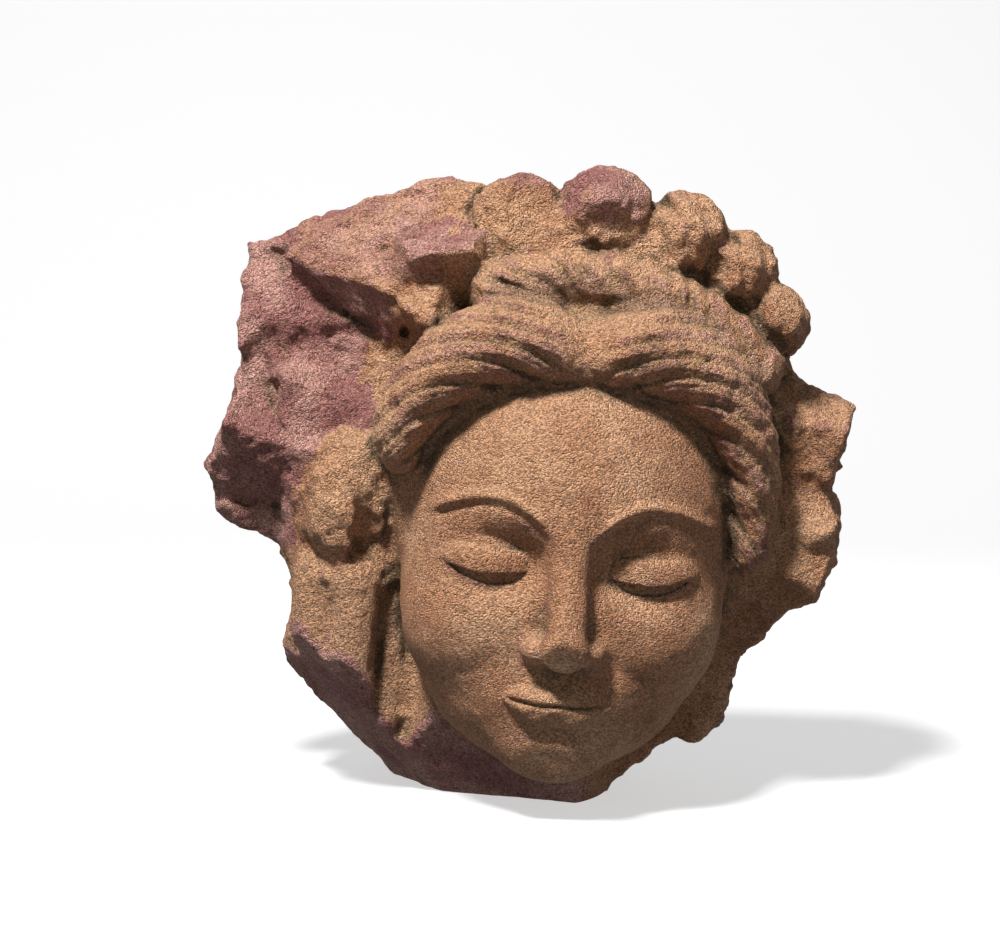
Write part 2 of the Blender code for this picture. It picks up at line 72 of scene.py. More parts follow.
# %% Sizes of the block and of the head
MM = 0.001
STONE_HEIGHT = 220 * MM
SQUARE = STONE_HEIGHT / 220
BACK_DEPTH = 54 * MM
BACK_EDGE = 20 * MM
BREAK_ROUNDING = 1.6 * MM
BREAK_DEPTH = 3 * MM
FACE_HEIGHT = 132 * MM
PART = FACE_HEIGHT / 12
HEAD_PLACE = Vector((10, 10, 81)) * SQUARE
HEAD_TURN = Euler((0.05, 0.085, 0.02), "YXZ")
print("one square of the block's grid is", SQUARE / MM, "mm, one part of the head", PART / MM, "mm")

# %% [markdown]
# Three ways to bring two forms together do most of the work: joined, cut away, and what both have
# in common. Each takes a radius, because neither a chisel nor long weather leaves a corner
# perfectly sharp.

# %% Ways to join forms
def blend(a, b, radius):
    """Two forms joined, with a fillet of that radius where they meet."""
    share = np.clip(0.5 + 0.5 * (b - a) / radius, 0, 1)
    return b + (a - b) * share - radius * share * (1 - share)


def carve(a, b, radius):
    """Form a with form b cut away, and a rounded edge."""
    return -blend(-a, b, radius)


def overlap(a, b, radius):
    """What two forms have in common, with a rounded edge."""
    return -blend(-a, -b, radius)


def ramp(x, start, end):
    """0 before start, 1 after end, and a smooth rise between them."""
    t = np.clip((x - start) / (end - start), 0, 1)
    return t * t * (3 - 2 * t)


def bump(x, width):
    """1 at 0, and close to 0 two widths away."""
    return np.exp(-((x / width) ** 2))


# %% Plain forms
def ellipsoid(u, w, v, centre, radii):
    """Distance to an ellipsoid, close to true near its surface."""
    a, b, c = ((q - m) / r for q, m, r in zip((u, w, v), centre, radii))
    k0 = np.sqrt(a * a + b * b + c * c)
    k1 = np.sqrt((a / radii[0]) ** 2 + (b / radii[1]) ** 2 + (c / radii[2]) ** 2)
    return k0 * (k0 - 1) / np.maximum(k1, 1e-9)


def rod(u, w, v, start, end, start_radius, end_radius):
    """A round rod whose radius changes evenly from one end to the other."""
    along = np.subtract(end, start)
    du, dw, dv = u - start[0], w - start[1], v - start[2]
    t = np.clip((du * along[0] + dw * along[1] + dv * along[2]) / (along @ along), 0, 1)
    gap = np.sqrt((du - t * along[0]) ** 2 + (dw - t * along[1]) ** 2 + (dv - t * along[2]) ** 2)
    return gap - (start_radius + (end_radius - start_radius) * t)


def plane(x, y, z, point, normal):
    """Height above a plane through a point of the block's grid. Stone is on its negative side."""
    n = np.array(normal) / np.linalg.norm(normal)
    p = np.array(point) * SQUARE
    return (x - p[0]) * n[0] + (y - p[1]) * n[1] + (z - p[2]) * n[2]


def facets(x, y, z, *faces):
    """A solid bounded by broken faces, each a point of the grid and an outward normal."""
    form = plane(x, y, z, *faces[0])
    for face_plane in faces[1:]:
        form = overlap(form, plane(x, y, z, *face_plane), BREAK_ROUNDING)
    return form


# %% [markdown]
# Sandstone breaks in lumps of every size. Smooth noise gives one size of lump: a fixed value for
# each point of a whole-number lattice, mixed smoothly between them. The seed keeps it the same on
# every run.

# %% Noise
def lattice(i, j, k, seed):
    """A fixed value from -1 to 1 for each point of a whole-number lattice."""
    h = (i * 374761393 + j * 668265263 + k * 2147483647 + seed * 1274126177) & 0xFFFFFFFF
    h = ((h ^ (h >> 13)) * 1274126177) & 0xFFFFFFFF
    return ((h ^ (h >> 16)) & 0xFFFF) / 32767.5 - 1


def noise(x, y, z, size, seed):
    """Smooth noise from -1 to 1 whose lumps are about size across."""
    cells, shares = [], []
    for q in (x, y, z):
        base = np.floor(q / size)
        t = q / size - base
        cells.append(base.astype(np.int64))
        shares.append(t * t * (3 - 2 * t))
    total = 0
    for corner in range(8):
        step = [corner >> axis & 1 for axis in range(3)]
        weight = 1
        for share, s in zip(shares, step):
            weight = weight * (share if s else 1 - share)
        total = total + weight * lattice(*(c + s for c, s in zip(cells, step)), seed)
    return total


# %% [markdown]
# The head leans a little, so everything on it is drawn in its own directions: right, front and
# up from the middle of the face, in twelfths of the face's height, as on a figure drawing.

# %% The head's own directions
def head_axes():
    """The head's right, front and up, as the columns of a matrix."""
    turn = HEAD_TURN.to_matrix()
    return np.array([turn @ Vector(a) for a in ((1, 0, 0), (0, -1, 0), (0, 0, 1))]).T


def in_head(x, y, z):
    """Position in the head's own directions: right u, front w, up v, in twelfths of the face."""
    offset = np.stack([x - HEAD_PLACE.x, y - HEAD_PLACE.y, z - HEAD_PLACE.z], -1)
    u, w, v = np.moveaxis(offset @ head_axes() / PART, -1, 0)
    return u, w, v


print("the head's up direction is", head_axes()[:, 2].round(3))

# %% [markdown]
# The face is a plain, calm one on the proportions of a drawing lesson: the eyes stand a little
# above the middle, the nose ends a third of the way up, and the mouth lies a third of the way
# from the nose to the chin. The masses come first and the features are cut into them, in the
# order a carver works.

# %% The masses of the head
EYE = (2.25, 0.65)
EYE_REACH = 1.45
MOUTH_REACH = 1.7
MOUTH_HEIGHT = -3.28
BROW_START = 0.7
BROW_LENGTH = 4.0


def skull(u, w, v):
    """The plain masses of the head: brain case, jaw, cheeks, mouth and chin."""
    form = ellipsoid(u, w, v, (0, 0.1, 1.6), (5.25, 5.2, 5.9))
    form = blend(form, ellipsoid(u, w, v, (0, 0.9, -1.5), (4.7, 3.85, 4.2)), 1.2)
    for side in (-1, 1):
        form = blend(form, ellipsoid(u, w, v, (2.6 * side, 2.5, -1.3), (2.0, 2.1, 1.9)), 1.3)
    form = blend(form, ellipsoid(u, w, v, (0, 1.7, -3.6), (3.5, 2.9, 2.3)), 1.0)
    form = blend(form, ellipsoid(u, w, v, (0, 3.3, -3.1), (2.4, 1.7, 1.5)), 0.9)
    return blend(form, ellipsoid(u, w, v, (0, 3.5, -4.85), (1.55, 1.3, 1.15)), 1.0)


# %% Eyes with lowered lids
LID_EDGE = 0.035


def eye(side, w, v):
    """One ball of the eye with its lids, the upper one lowered."""
    centre = (EYE[0], 3.4, EYE[1])
    across = np.clip((side - EYE[0]) / EYE_REACH, -1.2, 1.2)
    upper_edge = EYE[1] + 0.02 - 0.20 * (1 - across ** 2)
    lower_edge = EYE[1] - 0.02 - 0.50 * (1 - across ** 2)
    ball = ellipsoid(side, w, v, centre, (1.5, 1.15, 1.0))
    upper = overlap(ellipsoid(side, w, v, centre, (1.70, 1.33, 1.16)), upper_edge - v, LID_EDGE)
    lower = overlap(ellipsoid(side, w, v, centre, (1.66, 1.27, 1.14)), v - lower_edge, LID_EDGE)
    form = blend(blend(ball, upper, 0.04), lower, 0.04)
    crease = v - upper_edge - 0.62 - 0.22 * (1 - across ** 2)
    return form + 0.07 * bump(crease, 0.07) * ramp(1 - across ** 2, 0, 0.5)


# %% Nose and lips
def nose(side, w, v):
    """Straight bridge, round tip and wings."""
    form = rod(side, w, v, (0, 4.6, 2.3), (0, 5.9, -1.3), 0.50, 0.62)
    form = blend(form, ellipsoid(side, w, v, (0, 5.75, -1.45), (0.68, 0.85, 0.60)), 0.3)
    return blend(form, ellipsoid(side, w, v, (0.74, 5.1, -1.6), (0.50, 0.72, 0.44)), 0.25)


def lips(side, v):
    """How far the closed lips stand out, their corners lifted a little."""
    reach = np.clip(1 - (side / MOUTH_REACH) ** 2, 0, 1)
    line = MOUTH_HEIGHT + 0.12 * (1 - reach) + 0.05 * bump(side, 0.35)
    upper_height = 0.62 * reach ** 0.7 - 0.12 * bump(side, 0.28)
    lower_height = 0.80 * reach ** 0.6
    above = np.clip((v - line) / np.maximum(upper_height, 0.05), 0, 1)
    below = np.clip((line - v) / np.maximum(lower_height, 0.05), 0, 1)
    upper = 0.36 * np.sin(np.pi * (0.30 + 0.70 * above)) * (v > line)
    lower = 0.44 * np.sin(np.pi * (0.25 + 0.75 * below)) * (v <= line)
    edge = 0.05 * bump(v - line - upper_height, 0.06) + 0.03 * bump(line - v - lower_height, 0.07)
    cut = 0.13 * bump(v - line, 0.07) * ramp(reach, 0, 0.3)
    return (upper + lower) * reach ** 0.5 - cut + edge * ramp(reach, 0.05, 0.35)


# %% The whole face
def face(u, w, v):
    """The head with its features, worked as they are set out on a drawing of twelve parts."""
    side = np.abs(u)
    form = skull(u, w, v)
    form = carve(form, ellipsoid(side, w, v, (EYE[0], 6.35, EYE[1] + 0.25), (2.1, 2.3, 1.25)), 0.8)
    form = blend(form, eye(side, w, v), 0.10)
    form = blend(form, nose(side, w, v), 0.40)
    form = carve(form, ellipsoid(side, w, v, (0.40, 5.6, -2.12), (0.22, 0.40, 0.20)), 0.10)
    form = carve(form, rod(side, w, v, (0, 5.5, -2.2), (0, 5.4, -2.7), 0.22, 0.24), 0.2)
    form = carve(form, ellipsoid(side, w, v, (0, 5.55, -4.12), (1.0, 0.75, 0.32)), 0.4)
    form = form - lips(side, v) * ramp(w, 2.5, 3.5)
    share = np.clip((side - BROW_START) / BROW_LENGTH, 0, 1)
    brow = EYE[1] + 1.25 + 0.95 * np.sin(np.pi * share ** 0.8)
    ends = ramp(side, BROW_START - 0.3, BROW_START + 0.5) * ramp(side, BROW_START + BROW_LENGTH, 3.8)
    ridge = 0.17 * bump(v - brow, 0.17) - 0.05 * bump(v - brow + 0.34, 0.10)
    form = form - ridge * ends * ramp(w, 1.5, 2.5)
    chip = plane_in_head(u, w, v, (0.1, 6.42, -1.35), (-0.10, 0.90, -0.42))
    return overlap(form, chip, 0.06)


def plane_in_head(u, w, v, point, normal):
    """Height above a plane that is given in the head's own directions."""
    n = np.array(normal) / np.linalg.norm(normal)
    return (u - point[0]) * n[0] + (w - point[1]) * n[1] + (v - point[2]) * n[2]


# %% [markdown]
# The hair is combed away from a parting in two soft masses that stand a few millimetres above
# the forehead. Its locks are arches: they leave the parting steeply, bend over and run out along
# the roll. A lock is a whole number of one count that grows along the hairline and falls with the
# height above it, so a cosine of that count cuts every groove at once, and a faster cosine of the
# same count gives the fine strokes inside each lock.

# %% Hair
HAIRLINE = (5.15, 6.4)
HAIRLINE_MIDDLE = -0.35
HAIRLINE_SQUARENESS = 2.8
LOCK_SPACING = 1.35
STROKES = 3


def round_head(u, v):
    """Angle from the parting and distance from the middle, 1 being the hairline."""
    a, b = u / HAIRLINE[0], (v - HAIRLINE_MIDDLE) / HAIRLINE[1]
    power = HAIRLINE_SQUARENESS
    return np.arctan2(a, b), (np.abs(a) ** power + np.abs(b) ** power) ** (1 / power)


def hair(u, w, v):
    """A thick roll of combed hair round the forehead, parted in the middle."""
    angle, reach = round_head(u, v)
    out = (reach - 1) * 5.6
    lift = np.clip(np.cos(angle), 0, 1)
    half = 0.42 + 0.80 * lift ** 0.7
    centre_w = 1.2 + 1.2 * lift
    roll = (np.hypot((out - half + 0.05) / half, (w - centre_w) / (1.2 + 0.7 * lift)) - 1) * half
    sway = 0.10 * noise(u, w, v, 1.3, 21)
    count = (np.abs(angle) * 5.8 - 1.0 * out - 0.62 * np.clip(out, 0, 3) ** 2 + sway) / LOCK_SPACING
    share = count - np.floor(count)
    groove = 1 - np.sin(np.pi * share ** 0.7) ** 0.9
    stroke = (0.5 + 0.5 * np.cos(count * STROKES * 2 * np.pi)) * (1 - groove)
    clear = ramp(np.abs(angle), 0.02, 0.12)
    worn = 0.75 + 0.25 * noise(u, w, v, 2.1, 22)
    parting = bump(u + 0.05, 0.26 + 0.40 * np.clip(out, 0, 3)) * lift
    deep = 0.12 + 0.08 * bump(out, 0.7)
    roll = roll + (deep * groove + 0.035 * stroke) * clear * worn * (1 - parting)
    roll = roll + 0.62 * parting * ramp(out, -0.3, 1.8)
    ends = np.where(u < 0, 1.02, 1.36)
    roll = roll + 3.5 * ramp(np.abs(angle), ends, ends + 0.4)
    scalp = ellipsoid(u, w, v, (0, 0.2, 2.6), (5.6, 3.6, 6.9))
    return blend(roll, scalp, 0.3) + 0.05 * noise(u, w, v, 0.5, 23)


# %% [markdown]
# Behind the hair lies a notched band, and behind that stands a row of big round curls. The curls
# differ: the two in the middle have lost their fronts, and the two beside them still show the
# arched grooves of coiled hair. A short list holds how wide and how long each one is, and a loop
# does the rest.

# %% The notched band
BAND_MIDDLE = 1.9
BAND_RADIUS = 7.35
BAND_NOTCH = 0.85


def band(u, w, v):
    """A notched fillet that lies behind the hair, like a twisted cord."""
    angle = np.arctan2(u, v - BAND_MIDDLE)
    out = np.hypot(u, v - BAND_MIDDLE) - BAND_RADIUS
    form = (np.hypot(out / 0.95, (w - 0.6) / 1.9) - 1) * 0.95
    twist = angle * BAND_RADIUS + 0.8 * out + 0.45 * noise(u, w, v, 1.2, 31)
    notch = (0.5 + 0.5 * np.cos(twist * 2 * np.pi / BAND_NOTCH)) * ramp(out, -0.6, 0.2)
    form = form + 0.11 * notch * (0.8 + 0.5 * noise(u, w, v, 1.1, 32))
    form = form + 0.04 * noise(u, w, v, 0.4, 38)
    ends = np.where(u < 0, 0.42, 0.85)
    return form + 2.0 * ramp(np.abs(angle), ends, ends + 0.25)


# %% The round curls
KNOB_MIDDLE = (0.05, 3.9)
KNOB_RING = 7.42
KNOB_ANGLES = np.radians((-18.5, 2.5, 22.5, 38, 52.5))
KNOB_SIZES = (1.46, 1.48, 1.31, 1.20, 1.25)
KNOB_LENGTHS = (1.25, 1.34, 1.40, 1.33, 1.0)
KNOB_COILS = (0.0, 0.0, 1.0, 1.0, 0.3)
UNBROKEN = (9.0, 0.3)
KNOB_BREAKS = ((0.95, 0.30), (1.55, -0.05), UNBROKEN, UNBROKEN, UNBROKEN)
COIL_SPACING = 0.75
VALLEY_RING = 6.3


def knobs(u, w, v):
    """The row of big round curls that stands up behind the band, on a low dome."""
    form = ellipsoid(u, w, v, (KNOB_MIDDLE[0], -1.7, KNOB_MIDDLE[1] - 0.2), (7.3, 2.8, 7.4))
    round_middle = np.arctan2(u - KNOB_MIDDLE[0], v - KNOB_MIDDLE[1])
    out = np.hypot(u - KNOB_MIDDLE[0], v - KNOB_MIDDLE[1]) - VALLEY_RING
    depth = -0.2 - 1.2 * ramp(round_middle, 0.35, 0.75)
    valley = (np.hypot(out / 1.4, (w - depth) / 1.4) - 1) * 1.4
    valley = valley + 2.0 * ramp(-round_middle, 0.45, 0.75) + 2.0 * ramp(round_middle, 1.0, 1.3)
    form = blend(form, valley, 0.7)
    each = zip(KNOB_ANGLES, KNOB_SIZES, KNOB_LENGTHS, KNOB_COILS, KNOB_BREAKS)
    for angle, size, length, coil, (broken, rise) in each:
        du = u - KNOB_MIDDLE[0] - KNOB_RING * np.sin(angle)
        dv = v - KNOB_MIDDLE[1] - KNOB_RING * np.cos(angle)
        across = du * np.cos(angle) - dv * np.sin(angle)
        along = du * np.sin(angle) + dv * np.cos(angle)
        ball = ellipsoid(across, w, along, (0, -0.2, 0), (size, size * 1.5, length))
        turn = np.hypot(across + 0.85 * size, along + 0.75 * size) / COIL_SPACING
        groove = (0.5 + 0.5 * np.cos(turn * 2 * np.pi)) ** 1.5
        ball = ball + 0.15 * coil * groove * ramp(w, -0.4, 0.6)
        front = plane_in_head(across, w, along, (0, broken, 0), (0.10, 1, rise))
        ball = overlap(ball, front + 0.26 * noise(u, w, v, 0.9, 33), 0.25)
        form = blend(form, ball, 0.32)
    return form + 0.11 * noise(u, w, v, 0.55, 34) + 0.07 * noise(u, w, v, 0.28, 35)


# %% [markdown]
# The ear hangs low beside the cheek, as is usual on such heads, and three thick locks fall below
# it. The rim of the ear is made of two rods round its hollow, the lobe is a worn lump.

# %% Ear and hanging locks
def ear(u, w, v):
    """The ear laid flat against the stone: a rim curled round a hollow, and a lobe."""
    form = ellipsoid(u, w, v, (-6.95, -0.1, 1.4), (1.45, 1.75, 2.25))
    form = blend(form, rod(u, w, v, (-6.6, 0.7, 2.95), (-5.7, 0.5, 2.4), 0.62, 0.42), 0.4)
    form = blend(form, rod(u, w, v, (-5.65, 0.45, 2.4), (-5.6, 0.2, 0.5), 0.36, 0.24), 0.2)
    form = carve(form, rod(u, w, v, (-6.25, 1.75, 2.15), (-6.15, 0.95, 0.05), 0.42, 0.62), 0.15)
    lobe = ellipsoid(u, w, v, (-6.7, 0.25, -0.85), (1.25, 1.0, 0.85))
    filling = ellipsoid(u, w, v, (-5.6, -1.2, -0.3), (1.4, 1.7, 3.6))
    form = blend(blend(form, lobe, 0.35), filling, 0.3)
    return form + 0.13 * noise(u, w, v, 0.8, 41) + 0.08 * noise(u, w, v, 0.35, 43)


def tresses(u, w, v):
    """Three thick locks that hang below the ear."""
    form = rod(u, w, v, (-7.75, 0.15, -0.7), (-7.6, 0.3, -4.5), 0.72, 0.74)
    form = blend(form, rod(u, w, v, (-6.45, 0.6, -0.7), (-6.4, 0.65, -4.9), 0.74, 0.76), 0.38)
    form = blend(form, rod(u, w, v, (-5.25, -0.1, -2.2), (-5.25, 0.1, -6.0), 0.34, 0.37), 0.2)
    return form + 0.05 * noise(u, w, v, 0.7, 42)


# %% [markdown]
# The block behind the head is all breaks. Broken sandstone has flat facets with crisp, chipped
# edges, so each lump is what a few tilted planes have in common. A face of a lump is one point of
# the block's grid and the direction that it looks in. The outline seen from the front holds them
# together, and it widens a little from the front to the back as a split block does.

# %% Outline of the block
STONE_OUTLINE = np.array((
    (-101, 193), (-80, 201), (-35, 215), (11, 210), (53, 196), (81, 180), (88, 151), (112, 136),
    (109, 123), (104, 106), (108, 98), (106, 81), (99, 68), (89, 65), (75, 48), (67, 20),
    (44, 13), (27, 3), (12, -15), (-36, -15), (-52, -5), (-66, 12), (-83, 33), (-91, 46),
    (-86, 67), (-91, 85), (-112, 99), (-114, 116), (-104, 149),
)) * SQUARE


def outline_distance(x, z, corners):
    """Distance to a closed outline in the XZ plane, negative inside it."""
    nearest = np.full(x.shape, np.inf)
    inside = np.zeros(x.shape, bool)
    for (ax, az), (bx, bz) in zip(corners, np.roll(corners, -1, axis=0)):
        ex, ez = bx - ax, bz - az
        t = np.clip(((x - ax) * ex + (z - az) * ez) / (ex * ex + ez * ez), 0, 1)
        nearest = np.minimum(nearest, (x - ax - t * ex) ** 2 + (z - az - t * ez) ** 2)
        if ez:
            crosses = ((az > z) != (bz > z)) & (x < ax + (z - az) * ex / ez)
            inside ^= crosses
    return np.where(inside, -1, 1) * np.sqrt(nearest)


# %% Lumps of the block
SHELF_FRONT = ((-53, -6, 177), (-0.25, -0.74, 0.62))
LUMP_CREST = (-94, 0, 129)


def rock(x, y, z):
    """The broken block that the head stands out of."""
    grid = [q / SQUARE for q in (x, y, z)]
    shelf = facets(
        x, y, z,
        SHELF_FRONT,
        ((-56, -3, 175), (-0.60, -0.45, -0.66)),
        ((-25, 0, 185), (0.85, -0.50, 0.10)),
    )
    scoop = ellipsoid(*grid, (-80, -22, 154), (42, 40, 38)) * SQUARE
    lump = facets(
        x, y, z,
        (LUMP_CREST, (0.05, -0.93, 0.36)),
        (LUMP_CREST, (-0.20, -0.78, -0.59)),
    )
    core = facets(
        x, y, z,
        ((0, 14, 80), (0.10, -0.99, 0.0)),
        ((-84, 16, 70), (-0.85, -0.50, -0.10)),
        ((-50, 14, 140), (0.30, -0.60, 0.74)),
    )
    upper_pleat = facets(
        x, y, z,
        ((103, -4, 130), (0.10, -0.62, 0.78)),
        ((103, -4, 128), (-0.15, -0.97, -0.18)),
        ((106, -2, 116), (0.10, -0.80, -0.60)),
    )
    lower_pleat = facets(
        x, y, z,
        ((95, -8, 96), (-0.05, -0.50, 0.86)),
        ((94, -8, 94), (-0.15, -0.93, -0.35)),
        ((96, -6, 88), (0.25, -0.72, -0.65)),
    )
    trough = ellipsoid(*grid, (90, -12, 100), (28, 42, 78)) * SQUARE
    core = carve(core, trough, 3 * MM)
    form = carve(blend(shelf, lump, 2.5 * MM), scoop, BREAK_ROUNDING)
    for body in (core, upper_pleat, lower_pleat):
        form = blend(form, body, BREAK_ROUNDING)
    edge = outline_distance(x, z, STONE_OUTLINE)
    edge = edge + 0.35 * np.maximum(y - BACK_DEPTH + BACK_EDGE, 0)
    edge = edge + 0.15 * np.maximum(BACK_EDGE - y, 0)
    form = overlap(form, edge, BREAK_ROUNDING)
    back = facets(
        x, y - BACK_DEPTH, z,
        ((0, 0, 100), (0.05, 1, 0.12)),
        ((70, -4, 70), (0.40, 0.90, -0.16)),
        ((-60, -2, 150), (-0.20, 0.96, 0.12)),
        ((10, -7, 180), (0.10, 0.78, 0.62)),
    )
    return overlap(form, back, BREAK_ROUNDING)


# %% Breaks at the neck and at the first curl
LOCKS_END = (-72, -4, 52)
CURL_TIP = (-31, -17, 190)


def lower_breaks(x, y, z):
    """The three broken faces that the neck and the locks end on."""
    return facets(
        x, y, z,
        ((10, -14, 8), (0.05, -0.62, -0.78)),
        (LOCKS_END, (-0.30, -0.80, -0.52)),
        (LOCKS_END, (-0.62, -0.42, -0.62)),
    )


def broken_curl(x, y, z):
    """The stump of the first curl, broken to a rough slope."""
    grid = [q / SQUARE for q in (x, y, z)]
    boss = ellipsoid(*grid, (-31, 3, 187), (17, 27, 24)) * SQUARE
    rough = (3.4 * noise(*grid, 13, 36) + 1.3 * noise(*grid, 5, 37)) * MM
    top = plane(x, y, z, CURL_TIP, (-0.05, -0.44, 0.90))
    left = plane(x, y, z, (-45, -10, 190), (-0.85, -0.52, 0.10))
    under = plane(x, y, z, CURL_TIP, (0.05, -0.78, -0.62))
    form = overlap(overlap(boss, top + rough, 1.0 * MM), under + 0.6 * rough, 0.8 * MM)
    return overlap(form, left + rough, 2 * MM)


# %% [markdown]
# Now the forms are joined in the order in which they lie on each other. What was carved behind
# the face has a function of its own, because the colour asks for it later: carved skin carries a
# tan crust, fresh breaks show the purple stone. Breaks get lumps of several sizes, the head only
# a little wear. The small pit on the left was drilled.

# %% The whole stone
def carved(u, w, v):
    """The neck, curls, band, ear and locks, in metres."""
    form = rod(u, w, v, (-0.9, -0.6, -4.2), (-1.7, -1.4, -9.9), 3.4, 3.5) * PART
    form = blend(form, knobs(u, w, v) * PART, 3 * MM)
    form = blend(form, band(u, w, v) * PART, 2 * MM)
    form = blend(form, ear(u, w, v) * PART, 2 * MM)
    form = blend(form, tresses(u, w, v) * PART, 3 * MM)
    return form


def stone(x, y, z):
    """The whole field, in metres: negative inside the stone."""
    u, w, v = in_head(x, y, z)
    grid = [q / SQUARE for q in (x, y, z)]
    chips = np.abs(noise(*grid, 24, 3)) + 0.4 * np.abs(noise(*grid, 11, 5))
    form = rock(x, y, z) + BREAK_DEPTH * (chips - 0.4) * ramp(y, 0, 14 * MM)
    form = form + (1.2 * noise(*grid, 7.3, 7) + 0.9 * noise(*grid, 3.6, 8)) * MM
    form = blend(form, carved(u, w, v), 4 * MM)
    form = blend(form, broken_curl(x, y, z), 2.5 * MM)
    pit = rod(*grid, (-44.5, -14, 164.5), (-44, 4, 163), 2.3, 1.6) * SQUARE
    form = carve(form, pit, 1.5 * MM)
    crumbs = (0.5 * noise(*grid, 6.3, 11) + 0.4 * noise(*grid, 2.8, 12)) * MM
    form = overlap(form, lower_breaks(x, y, z) + crumbs, 0.8 * MM)
    locks = hair(u, w, v)
    form = blend(form, locks * PART, 5 * MM)
    head = blend(face(u, w, v), locks, 0.07) * PART
    head = head + (0.25 * noise(*grid, 6.1, 9) + 0.15 * noise(*grid, 3.1, 10)) * MM
    return blend(form, head, 0.8 * MM)


# %% [markdown]
# The field becomes a mesh in the way of a surface net. The space is cut into small cubes, each
# cube that the surface crosses gets one point, and four cubes round a crossed edge make a quad.
# To save time the field is first read coarsely, and only blocks that the surface may pass are
# read at every place. Corners that would touch without joining are filled in first, so that every
# edge of the mesh ends up between exactly two faces.

# %% Read the field where the surface may be
BLOCK = 4
FILLED = 1e-5


def sample(field, low, high, cell):
    """The field on a lattice, worked out exactly only in blocks that its surface may cross."""
    span = BLOCK * cell
    axes = [np.arange(a, b, span) + (BLOCK - 1) / 2 * cell for a, b in zip(low, high)]
    rough = field(*np.meshgrid(*axes, indexing="ij"))
    values = rough.repeat(BLOCK, 0).repeat(BLOCK, 1).repeat(BLOCK, 2)
    corner = np.stack(np.meshgrid(*[np.arange(BLOCK)] * 3, indexing="ij"), -1).reshape(-1, 3)
    near = np.argwhere(np.abs(rough) < 1.4 * span)
    for some in np.array_split(near, len(near) // 8000 + 1):
        spots = (some[:, None] * BLOCK + corner).reshape(-1, 3)
        values[tuple(spots.T)] = field(*(np.array(low) + spots * cell).T)
    return values


def part_clearly(values):
    """Fills in lattice points until no square of four is crossed corner to corner."""
    for _ in range(6):
        for first, second in ((0, 1), (0, 2), (1, 2)):
            plate = np.moveaxis(values, (first, second), (0, 1))
            a, b, c, d = plate[:-1, :-1], plate[:-1, 1:], plate[1:, 1:], plate[1:, :-1]
            crossed = ((a < 0) == (c < 0)) & ((b < 0) == (d < 0)) & ((a < 0) != (b < 0))
            for one, other in ((a, c), (b, d)):
                fill = crossed & (one >= 0) & (other >= 0)
                one[fill & (one <= other)] = -FILLED
                other[fill & (one > other)] = -FILLED


# %% Draw the net
def surface_net(field, low, high, cell):
    """Points and quads over the field's zero surface: a point in each cell that it crosses."""
    values = sample(field, low, high, cell)
    part_clearly(values)
    counts = np.array(values.shape)
    flat = np.array((counts[1] * counts[2], counts[2], 1))
    quads, cell_ids, cell_points = [], [], []
    for axis in range(3):
        step = np.eye(3, dtype=int)[axis]
        first = values[tuple(slice(0, n - s) for n, s in zip(counts, step))]
        second = values[tuple(slice(s, n) for n, s in zip(counts, step))]
        edges = np.argwhere((first < 0) != (second < 0))
        a, b = first[tuple(edges.T)], second[tuple(edges.T)]
        points = edges + (a / (a - b))[:, None] * step
        right, up = np.eye(3, dtype=int)[(axis + 1) % 3], np.eye(3, dtype=int)[(axis + 2) % 3]
        ring = [(edges - s) @ flat for s in (right * 0, right, right + up, up)]
        for ids in ring:
            cell_ids.append(ids)
            cell_points.append(points)
        corners = np.stack(ring, 1)
        quads.append(np.where((a < 0)[:, None], corners, corners[:, ::-1]))
    cell_ids, cell_points = np.concatenate(cell_ids), np.concatenate(cell_points)
    used, index, share = np.unique(cell_ids, return_inverse=True, return_counts=True)
    centres = np.stack([np.bincount(index, c) for c in cell_points.T], 1) / share[:, None]
    return np.array(low) + centres * cell, np.searchsorted(used, np.concatenate(quads))


def slope(field, points):
    """The direction in which the field grows fastest at each point."""
    small = 0.2 * MM
    return np.stack([
        (field(*(points + small * s).T) - field(*(points - small * s).T)) / (2 * small)
        for s in np.eye(3)
    ], 1)


def settle(points, field, reach):
    """Moves points onto the field's zero surface along its slope."""
    rise = slope(field, points)
    move = rise * (field(*points.T) / np.maximum((rise ** 2).sum(1), 0.2))[:, None]
    length = np.maximum(np.linalg.norm(move, axis=1), 1e-12)
    return points - move * np.minimum(1, reach / length)[:, None]


# %% Carve the stone
CELL = 0.95 * MM
FIELD_LOW = (
    min(HEAD_PLACE.x - 9.5 * PART, -122 * SQUARE),
    HEAD_PLACE.y - 8.5 * PART,
    -22 * SQUARE,
)
FIELD_HIGH = (120 * SQUARE, BACK_DEPTH + 16 * MM, 224 * SQUARE)
points, quads = surface_net(stone, FIELD_LOW, FIELD_HIGH, CELL)
points = settle(points, stone, CELL)
print(len(points), "points and", len(quads), "quads after", round(time.time() - started), "s")

# %% [markdown]
# The stone stands on a flat that is cut where the floor is, so the mesh is cut there too and the
# hole is closed. Loose specks, where a thin crumb of the field came away from the block, are
# thrown out by keeping the largest piece alone.

# %% Cut the underside flat
def keep_largest(bm):
    """Removes every island of the mesh but the one with most points."""
    left, islands = set(bm.verts), []
    while left:
        front = [left.pop()]
        island = list(front)
        while front:
            ring = {e.other_vert(v) for v in front for e in v.link_edges} & left
            left -= ring
            front = list(ring)
            island += front
        islands.append(island)
    islands.sort(key=len)
    loose = [v for island in islands[:-1] for v in island]
    bmesh.ops.delete(bm, geom=loose, context="VERTS")
    return len(loose)


